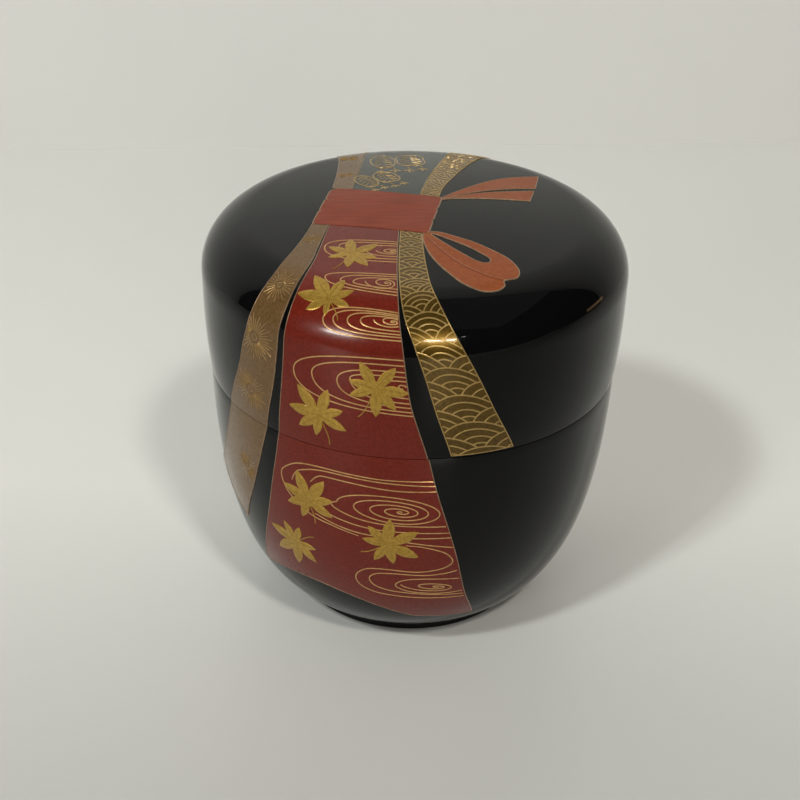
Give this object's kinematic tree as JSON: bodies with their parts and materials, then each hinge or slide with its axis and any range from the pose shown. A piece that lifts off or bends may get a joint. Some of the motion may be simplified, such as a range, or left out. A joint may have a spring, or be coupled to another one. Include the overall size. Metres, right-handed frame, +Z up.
{
  "type": "tea caddy",
  "caption": "Round lacquered tea caddy: cup-shaped body with a raised inner rim, lift-off domed lid, and applied ribbon decoration tied with a bow.",
  "frame": {"origin": "on the turning axis, on the surface that the foot ring stands on", "axes": "+Z up along the turning axis, which the lid lifts along; the front of the decoration faces -Y"},
  "size_m": [0.066, 0.0664, 0.067],
  "materials": {
    "lid_black_lacquer": "black lacquer on turned wood, polished to a mirror",
    "body_black_lacquer": "black lacquer on turned wood, polished to a mirror",
    "vermilion_lacquer": "raised vermilion lacquer, satin",
    "red_lacquer": "raised red lacquer with fine gold powder, satin",
    "copper_powder_lacquer": "copper and gold powder in lacquer, satin",
    "gold_powder_lacquer": "gold powder in lacquer, satin",
    "green_lacquer": "dark green lacquer with gold powder, satin"
  },
  "bodies": {
    "body": {"body": "body_black_lacquer", "maple_ribbon_body": "red_lacquer", "chrysanthemum_ribbon_body": "copper_powder_lacquer", "pine_ribbon_back_body": "green_lacquer"},
    "lid": {"lid": "lid_black_lacquer", "tie_band": "vermilion_lacquer", "bow_loop": "vermilion_lacquer", "bow_tail_upper": "vermilion_lacquer", "bow_tail_lower": "vermilion_lacquer", "maple_ribbon_lid": "red_lacquer", "chrysanthemum_ribbon_lid": "copper_powder_lacquer", "wave_ribbon_front": "gold_powder_lacquer", "copper_ribbon_back": "copper_powder_lacquer", "pine_ribbon_back_lid": "green_lacquer", "wave_ribbon_back": "gold_powder_lacquer"}
  },
  "joints": [
    {"name": "lid_lift", "type": "slide", "parent": "body", "child": "lid", "axis": [0, 0, 1], "range_m": [0, 0.045]}
  ]
}
